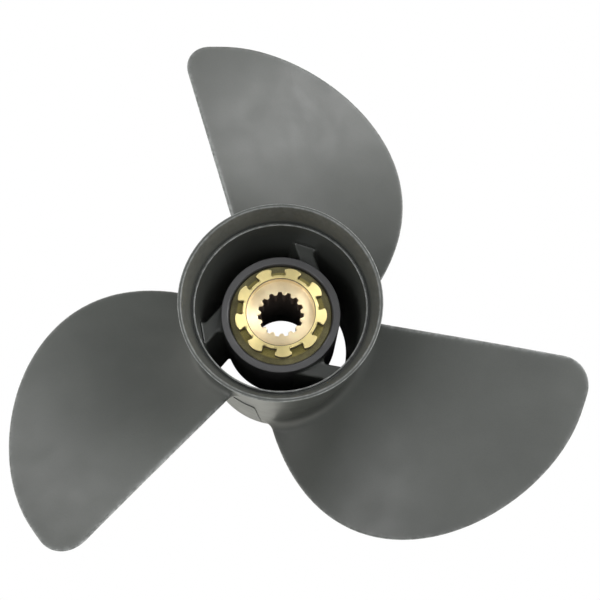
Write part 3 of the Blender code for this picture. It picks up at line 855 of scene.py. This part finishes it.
def flange_rows(s):
    """Rows of the sleeve's flange, from under it round the outline of its tabs to the top face.

    Its upper edge is a quarter circle, up which the outline is drawn in. Returns the rows, the angles
    of its round ones, and the painted shade on each point: it darkens the first rows, the flange's
    sides up to the foot of that edge.
    """
    under = SLEEVE_TOP - s.flange_thickness
    # The flange's sides, up to the foot of its upper edge, are darkened as painted shade
    shaded_rows = 5
    quarter = np.linspace(0.0, math.pi / 2, 5)
    outlines = [(s.edge * (1 - math.cos(t)), SLEEVE_TOP - s.edge + s.edge * math.sin(t)) for t in quarter]
    top_rows = [(tab_outline(s, shrink), height) for shrink, height in outlines]
    top_rows.insert(0, (top_rows[0][0], under + s.edge))
    flat_hold = tab_outline(s, 1.5 * s.edge)
    outline_turn = np.unwrap(np.arctan2(flat_hold[:, 1], flat_hold[:, 0]))
    even = outline_turn[0] + np.linspace(0.0, math.tau, len(flat_hold), endpoint=False)
    rows = [ring(s.radius, even, under), ring(s.radius + 0.5 * MM, even, under)]
    rows.append(np.column_stack([tab_outline(s, s.edge), np.full(len(even), FRONT + under)]))
    rows += [np.column_stack([outline, np.full(len(even), FRONT + height)]) for outline, height in top_rows]
    rows.append(np.column_stack([flat_hold, np.full(len(even), FRONT + SLEEVE_TOP)]))
    rows.append(ring(s.dish_radius + 1.0 * MM, even, SLEEVE_TOP))
    painted_shade = [s.side_painted_shade] * shaded_rows + [0.0] * (len(rows) - shaded_rows)
    return np.stack(rows), even, np.repeat(painted_shade, len(even))


def core_rows(s):
    """Rows of the sleeve's core, from the top face down the dish, through the spline and back outside.

    The floor of the dish slopes to the throat, a little outside the spline's grooves. From there the
    rows follow the spline's outline down its rounded mouth. Points crowd on the flanks of the grooves.
    Returns the rows, their angles and the painted shade on each point: in the turned line, and down the
    bore.
    """
    step = math.tau / s.splines
    wall = math.asin(s.groove_width / 2 / s.spline_major)
    fine = np.linspace(-0.6, 0.6, 9) * wall
    base = np.linspace(-0.5, 0.5, 13)[:-1] * step
    local = np.unique(np.round(np.concatenate([base, fine - wall * 1.05, fine + wall * 1.05]), 5))
    turns = (local[None, :] + step * np.arange(s.splines)[:, None] + s.spline_direction).ravel()
    turn = np.sort(turns % math.tau)

    mouth = SLEEVE_TOP - s.mouth_depth
    floor = SLEEVE_TOP - s.dish_depth
    throat = s.spline_major + 0.8 * MM
    dish, _worn = rounded_path(
        [
            (s.dish_radius + 0.8 * MM, SLEEVE_TOP, 0.0),
            (s.dish_radius + s.line_width, SLEEVE_TOP, 0.08 * MM),
            (s.dish_radius + s.line_width / 2, SLEEVE_TOP - s.line_depth, 0.05 * MM),
            (s.dish_radius, SLEEVE_TOP - 0.1 * MM, 0.12 * MM),
            (s.dish_floor_radius, floor, 0.4 * MM),
            (throat, mouth, 0.0),
        ],
        steps=6,
    )
    rows = [ring(radius, turn, height) for radius, height in dish[:-1]]
    cone = (floor - mouth) / (s.dish_floor_radius - throat)
    hold = 0.3 * MM
    rows.append(ring(throat + hold, turn, mouth + hold * cone))
    rows.append(ring(throat, turn, mouth))
    for grow, drop in SPLINE_MOUTH:
        edge = spline_radius(s, turn, grow * MM)
        rows.append(ring(edge, turn, mouth - cone * (throat - edge) - drop * MM))
    unshaded = len(rows) - 3
    end = mouth - s.spline_length
    rows.append(ring(spline_radius(s, turn), turn, end + 0.5 * MM))
    rows.append(ring(spline_radius(s, turn), turn, end))

    # Into the plain bore, round the forward end and up the outside to the flange
    for radius, height in (
        (s.spline_major + 0.6 * MM, end - 0.3 * MM),
        (s.bore, end - 1.2 * MM),
        (s.bore, end - 2.0 * MM),
        (s.bore, SLEEVE_FOOT + 1.0 * MM),
        (s.bore + 0.5 * MM, SLEEVE_FOOT),
        (s.radius - 0.8 * MM, SLEEVE_FOOT),
        (s.radius, SLEEVE_FOOT + 0.8 * MM),
        (s.radius, SLEEVE_FOOT + 1.2 * MM),
        (s.radius, SLEEVE_TOP - s.flange_thickness - 0.4 * MM),
    ):
        rows.append(ring(radius, turn, height))

    below_top = dish[:-1, 1] < SLEEVE_TOP - 0.03 * MM
    in_line = below_top & (dish[:-1, 0] > s.dish_radius)
    # Painted shade in the turned line round the dish, and from the spline's teeth down into the bore
    painted_shade = np.clip((np.arange(len(rows)) - unshaded) / 2, 0.0, 1.0)
    painted_shade[: len(in_line)] = np.where(in_line, s.line_painted_shade, 0.0)
    return np.stack(rows), turn, np.repeat(painted_shade, len(turn))


def add_node(tree, kind, links=None, **values):
    """A node with its settings; links maps an input's name or number to a socket or a value."""
    node = tree.nodes.new(kind)
    for name, value in values.items():
        setattr(node, name, value)
    for name, value in (links or {}).items():
        socket = node.inputs[name]
        if isinstance(value, bpy.types.NodeSocket):
            tree.links.new(value, socket)
        else:
            socket.default_value = value
    return node


def new_material(name):
    """A material with only a Principled shader, and its tree and shader."""
    material = bpy.data.materials.new(name)
    material.use_nodes = True
    tree = material.node_tree
    return material, tree, tree.nodes["Principled BSDF"]


def object_place(tree):
    """Place of a shaded point in the object's own coordinates."""
    return add_node(tree, "ShaderNodeTexCoord").outputs["Object"]


def noise(tree, place, scale, detail):
    """Cloudy noise with values round one half; scale is about how many lumps there are to a metre."""
    links = {"Vector": place, "Scale": scale, "Detail": detail, "Roughness": 0.55}
    return add_node(tree, "ShaderNodeTexNoise", links).outputs["Fac"]


def remap(tree, value, low, high, to_low, to_high):
    """A value moved from one range to another, and held at the ends."""
    links = {"Value": value, "From Min": low, "From Max": high, "To Min": to_low, "To Max": to_high}
    return add_node(tree, "ShaderNodeMapRange", links).outputs["Result"]


def blend(tree, share, first, second, mode="MIX"):
    """Mix of two colours. Colours come as sockets or as red, green, blue."""
    node = add_node(tree, "ShaderNodeMix", data_type="RGBA", blend_type=mode)
    for socket, value in ((node.inputs[0], share), (node.inputs[6], first), (node.inputs[7], second)):
        if isinstance(value, bpy.types.NodeSocket):
            tree.links.new(value, socket)
        elif isinstance(value, float):
            socket.default_value = value
        else:
            socket.default_value = (*value, 1.0)
    return node.outputs[2]


def spread(tree, value, to_low, to_high, half_range=0.2):
    """A noise whose usual values, half_range to both sides of one half, are spread to another range."""
    return remap(tree, value, 0.5 - half_range, 0.5 + half_range, to_low, to_high)


def grey(tree, value):
    """A grey of a value."""
    return add_node(tree, "ShaderNodeCombineColor", {0: value, 1: value, 2: value}).outputs[0]


def read_mark(tree, name):
    """A mark of the mesh, as add_piece gives it."""
    return add_node(tree, "ShaderNodeAttribute", attribute_name=name).outputs["Fac"]


def multiply(tree, first, second):
    """Product of two values."""
    return add_node(tree, "ShaderNodeMath", {0: first, 1: second}, operation="MULTIPLY").outputs[0]


def bump(tree, height, distance, strength, normal=None):
    """Normal of a surface with bumps of a height, over the normal of other bumps if one is given."""
    links = {"Height": height, "Distance": distance, "Strength": strength}
    if normal is not None:
        links["Normal"] = normal
    return add_node(tree, "ShaderNodeBump", links).outputs["Normal"]


def axis_distance(tree, place):
    """Distance of a shaded point from the shaft axis."""
    apart = add_node(tree, "ShaderNodeSeparateXYZ", {0: place})
    flat = add_node(tree, "ShaderNodeCombineXYZ", {0: apart.outputs[0], 1: apart.outputs[1]}).outputs[0]
    return add_node(tree, "ShaderNodeVectorMath", {0: flat}, operation="LENGTH").outputs["Value"]


def paint_material(name, tone, s):
    """Satin paint on a sand casting: a soft mottle, a fine orange peel, and light edges that are partly worn
    paint and partly a painted highlight.
    """
    material, tree, shader = new_material(name)
    place = object_place(tree)
    cloud = spread(tree, noise(tree, place, scale=26.0, detail=4.0), 0.90, 1.10)
    grain = spread(tree, noise(tree, place, scale=1500.0, detail=2.0), 0.94, 1.06)
    painted = blend(tree, 1.0, tuple(tone), grey(tree, multiply(tree, cloud, grain)), "MULTIPLY")
    patchy = spread(tree, noise(tree, place, scale=320.0, detail=4.0), 0.25, 0.8, half_range=0.15)
    # Worn paint and painted highlight: marked edges go patchily towards the light colour
    bared_and_lit = multiply(tree, read_mark(tree, "wear_and_highlight"), patchy)
    tree.links.new(blend(tree, bared_and_lit, painted, tuple(s.bare_and_highlight)), shader.inputs["Base Color"])
    gloss = noise(tree, place, scale=60.0, detail=3.0)
    rough = spread(tree, gloss, s.paint_roughness - 0.04, s.paint_roughness + 0.05)
    tree.links.new(rough, shader.inputs["Roughness"])
    peel = bump(tree, noise(tree, place, scale=650.0, detail=2.0), 0.03 * MM, strength=0.6)
    waves = bump(tree, noise(tree, place, scale=45.0, detail=2.0), 0.25 * MM, strength=0.35, normal=peel)
    tree.links.new(waves, shader.inputs["Normal"])
    return material


def rubber_material(s):
    """Dull rubber under a brown bloom with fine grain, and a paler, yellower painted reflection of the
    bronze tabs on it between the tabs.
    """
    material, tree, shader = new_material("bush_rubber_bloomed")
    place = object_place(tree)
    patches = spread(tree, noise(tree, place, scale=90.0, detail=4.0), 0.0, 1.0, half_range=0.15)
    grain = spread(tree, noise(tree, place, scale=1400.0, detail=3.0), 0.75, 1.25)
    bloomed = blend(tree, patches, tuple(s.rubber), tuple(s.bloom))
    # Painted reflection: the rubber between the tabs turns paler and yellower
    between_tabs = remap(tree, axis_distance(tree, place), *TAB_REFLECTION_FADE, 0.0, 1.0)
    mixed = blend(tree, between_tabs, bloomed, tuple(s.tab_reflection))
    tree.links.new(blend(tree, 1.0, mixed, grey(tree, grain), "MULTIPLY"), shader.inputs["Base Color"])
    shader.inputs["Roughness"].default_value = s.rubber_roughness
    pores = bump(tree, noise(tree, place, scale=900.0, detail=3.0), 0.08 * MM, strength=0.7)
    tree.links.new(pores, shader.inputs["Normal"])
    return material


def bronze_material(s):
    """Turned bronze: fine rings round the axis draw the light out across them. Painted shade darkens the
    turned line, the flange's sides and the bore, and a paler dish paints its highlights.
    """
    material, tree, shader = new_material("sleeve_bronze_turned")
    place = object_place(tree)
    stain = spread(tree, noise(tree, place, scale=120.0, detail=3.0), 0.92, 1.05)
    distance = axis_distance(tree, place)
    height = add_node(tree, "ShaderNodeSeparateXYZ", {0: place}).outputs[2]
    along = add_node(tree, "ShaderNodeCombineXYZ", {0: distance, 1: height}).outputs[0]
    rings = noise(tree, along, scale=2600.0, detail=2.0)
    # Painted highlight: the dish takes the paler bronze
    in_dish = remap(tree, distance, *DISH_HIGHLIGHT_FADE, 0.0, 1.0)
    metal = blend(tree, in_dish, tuple(s.bronze), tuple(s.dish_highlight_bronze))
    unshaded = blend(tree, 1.0, metal, grey(tree, stain), "MULTIPLY")
    # Painted shade: where marked, the bronze turns dark and stops being metal
    painted_shade = read_mark(tree, "painted_shade")
    tree.links.new(blend(tree, painted_shade, unshaded, tuple(s.painted_shade)), shader.inputs["Base Color"])
    tree.links.new(remap(tree, painted_shade, 0.0, 1.0, 1.0, 0.0), shader.inputs["Metallic"])
    rough = spread(tree, rings, s.bronze_roughness - 0.05, s.bronze_roughness + 0.06)
    tree.links.new(rough, shader.inputs["Roughness"])
    shader.inputs["Anisotropic"].default_value = 0.9
    shader.inputs["Anisotropic Rotation"].default_value = 0.25
    tangent = add_node(tree, "ShaderNodeTangent", direction_type="RADIAL", axis="Z").outputs[0]
    tree.links.new(tangent, shader.inputs["Tangent"])
    tree.links.new(bump(tree, rings, 0.006 * MM, strength=0.5), shader.inputs["Normal"])
    return material


def floor_material(name, tone, emission, reflecting):
    """Plain matt floor. A reflecting one gives light of its own only from outside the barrel on, which
    leaves a painted shadow on it under the barrel.
    """
    material, tree, shader = new_material(name)
    shader.inputs["Base Color"].default_value = (*tone, 1.0) if reflecting else (0.0, 0.0, 0.0, 1.0)
    shader.inputs["Roughness"].default_value = 0.9
    shader.inputs["Specular IOR Level"].default_value = 0.0
    shader.inputs["Emission Color"].default_value = (*tone, 1.0)
    shader.inputs["Emission Strength"].default_value = emission
    if reflecting:
        # Painted shadow: no glow within the barrel's footprint
        glow = remap(tree, axis_distance(tree, object_place(tree)), *GLOW_FADE, 0.0, emission)
        tree.links.new(glow, shader.inputs["Emission Strength"])
    return material


def add_plain(name, points, faces, material):
    """Object with one material, made from lists of points and faces."""
    mesh = bpy.data.meshes.new(name)
    mesh.from_pydata(points, [], faces)
    mesh.materials.append(material)
    plain = bpy.data.objects.new(name, mesh)
    bpy.context.scene.collection.objects.link(plain)
    return plain


def add_floor(name, size, height, material):
    """Level square centred on the axis."""
    half = size / 2
    corners = [(-half, -half, height), (half, -half, height), (half, half, height), (-half, half, height)]
    floor = add_plain(name, corners, [(0, 1, 2, 3)], material)
    return floor


def add_backdrop(name, radius, material):
    """Half sphere round the object: radius x (cos e cos a, cos e sin a, sin e), seen from inside.

    Its lowest ring lies below the floor, so that no gap shows between them.
    """
    rows, columns = 12, 48
    rise = np.linspace(-0.02, 0.49 * math.pi, rows)[:, None]
    turn = np.linspace(0.0, math.tau, columns, endpoint=False)
    around = [np.cos(rise) * np.cos(turn), np.cos(rise) * np.sin(turn), np.sin(rise) + 0 * turn]
    points = radius * np.stack(around, axis=-1).reshape(-1, 3)
    backdrop = add_plain(name, points.tolist(), grid_quads(rows, columns)[:, ::-1].tolist(), material)
    return backdrop


def add_softbox(name, azimuth, elevation, size, watts):
    """Square area light, LIGHT_DISTANCE from the object and facing it."""
    light = bpy.data.lights.new(name, "AREA")
    light.shape = "SQUARE"
    light.size = size
    light.energy = watts
    azimuth, elevation = math.radians(azimuth), math.radians(elevation)
    flat = math.cos(elevation)
    way = Vector((flat * math.cos(azimuth), flat * math.sin(azimuth), math.sin(elevation)))
    box = bpy.data.objects.new(name, light)
    box.location = way * LIGHT_DISTANCE
    box.rotation_euler = way.to_track_quat("Z", "Y").to_euler()
    bpy.context.scene.collection.objects.link(box)


def add_camera(s):
    """Camera that looks down at a point beside the axis, level with the rim.

    Its way back from that point is (sin a cos e, -cos a cos e, sin e). Its sides are a level line across
    that way and the line square to both, turned by the roll.
    """
    flat = math.cos(s.elevation)
    back = Vector((math.sin(s.azimuth) * flat, -math.cos(s.azimuth) * flat, math.sin(s.elevation)))
    level = Vector((math.cos(s.azimuth), math.sin(s.azimuth), 0.0))
    right = level * math.cos(s.roll) + back.cross(level) * math.sin(s.roll)
    turn = Matrix((right, back.cross(right), back)).transposed().to_4x4()
    aim = Vector((s.aim_right, 0.0, FRONT + LENGTH))
    data = bpy.data.cameras.new("camera")
    data.lens = s.lens
    data.sensor_width = 36.0
    data.clip_start, data.clip_end = 0.01, 20.0
    camera = bpy.data.objects.new("camera", data)
    camera.matrix_world = Matrix.Translation(aim + back * s.distance) @ turn
    bpy.context.scene.collection.objects.link(camera)
    return camera


def set_sky(tone, strength):
    """Even light from all round."""
    sky = bpy.data.worlds.new("studio")
    sky.use_nodes = True
    background = sky.node_tree.nodes["Background"]
    background.inputs["Color"].default_value = (*tone, 1.0)
    background.inputs["Strength"].default_value = strength
    bpy.context.scene.world = sky


class PropellerSettings(bpy.types.PropertyGroup):
    """All sizes, colours and stage settings."""

    barrel: bpy.props.PointerProperty(type=BarrelSizes)
    hub: bpy.props.PointerProperty(type=HubSizes)
    rib: bpy.props.PointerProperty(type=RibSizes)
    blade: bpy.props.PointerProperty(type=BladeSizes)
    bush: bpy.props.PointerProperty(type=BushSizes)
    sleeve: bpy.props.PointerProperty(type=SleeveSizes)
    finish: bpy.props.PointerProperty(type=FinishColours)
    stage: bpy.props.PointerProperty(type=StageSettings)


def casting_paint(s):
    """The paint that barrel, ribs and blades share, made once."""
    return bpy.data.materials.get("cast_paint") or paint_material("cast_paint", s.finish.paint, s.finish)


class PROPELLER_OT_barrel(bpy.types.Operator):
    """Turn the barrel and its flared rim as one painted surface"""

    bl_idname = "propeller.barrel"
    bl_label = "Barrel and rim"

    def execute(self, context):
        s = context.scene.propeller
        profile, sharp = rounded_path(barrel_corners(s.barrel))
        wall = turned_points(profile)
        rows, columns = wall.shape[:2]
        wall = wall.reshape(-1, 3)
        flash = flash_points(s.barrel)
        flash_faces = closed_tube(*flash.shape[:2])
        shells = [wall]
        faces = [outwards(wall, grid_quads(rows, columns, wrap_rows=True))]
        for turned in turned_copies(flash, s.blade.number):
            faces.append(outwards(turned, flash_faces) + sum(len(made) for made in shells))
            shells.append(turned)
        points = np.concatenate(shells)
        # Painted light on the cone and painted highlights on the bead and lip; the parting lines get none
        wear_and_highlight = np.repeat(barrel_painted_light(s.barrel, profile, sharp), columns)
        marks = {"wear_and_highlight": np.concatenate([wear_and_highlight, np.zeros(len(points) - len(wall))])}
        nodes = ("barrel", "flared_rim")
        faces = [np.concatenate(faces)]
        add_piece("cast_barrel", points, faces, casting_paint(s), nodes, marks)
        return {"FINISHED"}


class PROPELLER_OT_hub(bpy.types.Operator):
    """Turn the hub tube that holds the bush"""

    bl_idname = "propeller.hub"
    bl_label = "Hub tube"

    def execute(self, context):
        s = context.scene.propeller
        material = paint_material("hub_paint", s.finish.hub_paint, s.finish)
        add_turned("cast_hub", hub_corners(s.hub), material, ("inner_hub",), wear_and_highlight_share=0.0)
        return {"FINISHED"}


class PROPELLER_OT_ribs(bpy.types.Operator):
    """Make the filleted ribs between hub and barrel"""

    bl_idname = "propeller.ribs"
    bl_label = "Ribs"

    def execute(self, context):
        s = context.scene.propeller
        sides = rib_points(s.rib, s.barrel, s.hub)
        rows, columns = sides.shape[:2]
        middles = np.stack([sides[0].mean(axis=0), sides[-1].mean(axis=0)])
        points = np.concatenate([sides.reshape(-1, 3), middles])
        first_middle = rows * columns
        caps = [
            fan_cap(0, columns, first_middle)[:, ::-1],
            fan_cap(rows - 1, columns, first_middle + 1),
        ]
        faces = [grid_quads(rows, columns)[:, ::-1], np.concatenate(caps)]
        copies = turned_copies(points, s.rib.number, s.rib.direction)
        for number, turned in enumerate(copies, start=1):
            nodes = (f"rib_{number}",)
            add_piece(f"cast_rib_{number}", turned, faces, casting_paint(s), nodes)
        return {"FINISHED"}


class PROPELLER_OT_blades(bpy.types.Operator):
    """Make the helical blades with their root fillets"""

    bl_idname = "propeller.blades"
    bl_label = "Blades"

    def execute(self, context):
        s = context.scene.propeller
        # The blades' edges carry wear with a painted highlight
        points, wear_and_highlight = blade_points(s.blade, s.barrel)
        faces = capped_quads(*points.shape[:2], tip_closed=True)
        copies = turned_copies(points, s.blade.number, s.blade.direction)
        for number, turned in enumerate(copies, start=1):
            name, nodes = f"cast_blade_{number}", (f"blade_{number}",)
            add_piece(name, turned, faces, casting_paint(s), nodes, {"wear_and_highlight": wear_and_highlight})
        return {"FINISHED"}


class PROPELLER_OT_bush(bpy.types.Operator):
    """Turn the rubber bush between hub and sleeve"""

    bl_idname = "propeller.bush"
    bl_label = "Rubber bush"

    def execute(self, context):
        s = context.scene.propeller
        inner = s.sleeve.radius + s.bush.crevice
        outer = s.hub.bore - s.bush.crevice
        corners = [
            (inner, BUSH_FOOT, s.bush.front_rounding),
            (outer, BUSH_FOOT, s.bush.front_rounding),
            (outer, BUSH_TOP, s.bush.rounding),
            (inner, BUSH_TOP, s.bush.rounding),
        ]
        add_turned("rubber_ring", corners, rubber_material(s.finish), ("rubber_bush",))
        return {"FINISHED"}


class PROPELLER_OT_sleeve(bpy.types.Operator):
    """Make the bronze sleeve with its tabs, dish and spline"""

    bl_idname = "propeller.sleeve"
    bl_label = "Bronze sleeve"

    def execute(self, context):
        s = context.scene.propeller
        flange, flange_turn, flange_painted_shade = flange_rows(s.sleeve)
        core, core_turn, painted_shade = core_rows(s.sleeve)
        core_first = flange.shape[0] * flange.shape[1]
        points = np.concatenate([flange.reshape(-1, 3), core.reshape(-1, 3)])
        flange_turn = flange_turn % math.tau
        top_first = (flange.shape[0] - 1) * flange.shape[1]
        foot_first = core_first + (core.shape[0] - 1) * core.shape[1]
        quads = [
            grid_quads(*flange.shape[:2]),
            grid_quads(*core.shape[:2], first=core_first),
        ]
        triangles = [
            zip_rings(core_turn, core_first, flange_turn, top_first)[:, ::-1],
            zip_rings(core_turn, foot_first, flange_turn, 0),
        ]
        faces = [np.concatenate(quads), np.concatenate(triangles)]
        material = bronze_material(s.finish)
        # Painted shade on the flange's sides, in the turned line and down the bore
        marks = {"painted_shade": np.concatenate([flange_painted_shade, painted_shade])}
        add_piece("bronze_sleeve", points, faces, material, ("splined_sleeve",), marks)
        return {"FINISHED"}


class PROPELLER_OT_stage(bpy.types.Operator):
    """Set the pale floor, the softboxes and the camera"""

    bl_idname = "propeller.stage"
    bl_label = "Stage"

    def execute(self, context):
        scene = context.scene
        s = scene.propeller.stage
        white = floor_material("floor_white", (1.0, 1.0, 1.0), 1.0, reflecting=False)
        seen = add_floor("floor_seen", s.floor_size, FRONT - SEEN_DROP, white)
        backdrop = add_backdrop("backdrop", 0.49 * s.floor_size, white)
        for plain in (seen, backdrop):
            plain.visible_diffuse = plain.visible_glossy = plain.visible_shadow = False
        # Its glow stops short of the barrel: a painted shadow under the propeller
        pale = floor_material("floor_pale", tuple(s.floor_tone), s.floor_glow, reflecting=True)
        felt = add_floor("floor_felt", s.floor_size, FRONT - FELT_DROP, pale)
        felt.visible_camera = False

        for name, azimuth, elevation, size, watts in SOFTBOXES:
            add_softbox(name, azimuth, elevation, size, watts)

        set_sky(s.sky_tone, s.sky_strength)
        scene.view_settings.view_transform = "Standard"
        scene.camera = add_camera(s)
        return {"FINISHED"}


class PROPELLER_PT_maker(bpy.types.Panel):
    """Buttons for each piece, with its sizes"""

    bl_idname = "PROPELLER_PT_maker"
    bl_label = "Propeller"
    bl_space_type = "VIEW_3D"
    bl_region_type = "UI"
    bl_category = "Propeller"

    def draw(self, context):
        s = context.scene.propeller
        for operator in PIECE_OPERATORS:
            self.layout.operator(operator.bl_idname)
        for group in (s.barrel, s.hub, s.rib, s.blade, s.bush, s.sleeve, s.finish, s.stage):
            box = self.layout.box()
            for name in group.__annotations__:
                box.prop(group, name)


PIECE_OPERATORS = (
    PROPELLER_OT_barrel,
    PROPELLER_OT_hub,
    PROPELLER_OT_ribs,
    PROPELLER_OT_blades,
    PROPELLER_OT_bush,
    PROPELLER_OT_sleeve,
    PROPELLER_OT_stage,
)
CLASSES = (
    BarrelSizes,
    HubSizes,
    RibSizes,
    BladeSizes,
    BushSizes,
    SleeveSizes,
    FinishColours,
    StageSettings,
    PropellerSettings,
    *PIECE_OPERATORS,
    PROPELLER_PT_maker,
)


def register():
    """Makes the settings, operators and panel known, and hangs the settings on the scene."""
    for made in CLASSES:
        bpy.utils.register_class(made)
    bpy.types.Scene.propeller = bpy.props.PointerProperty(type=PropellerSettings)


def unregister():
    """Takes all of them away again."""
    del bpy.types.Scene.propeller
    for made in reversed(CLASSES):
        bpy.utils.unregister_class(made)


def main():
    """Makes the settings known, then the stage and every piece in order."""
    register()
    bpy.ops.propeller.stage()
    bpy.ops.propeller.barrel()
    bpy.ops.propeller.hub()
    bpy.ops.propeller.ribs()
    bpy.ops.propeller.blades()
    bpy.ops.propeller.bush()
    bpy.ops.propeller.sleeve()


if __name__ == "__main__":
    main()
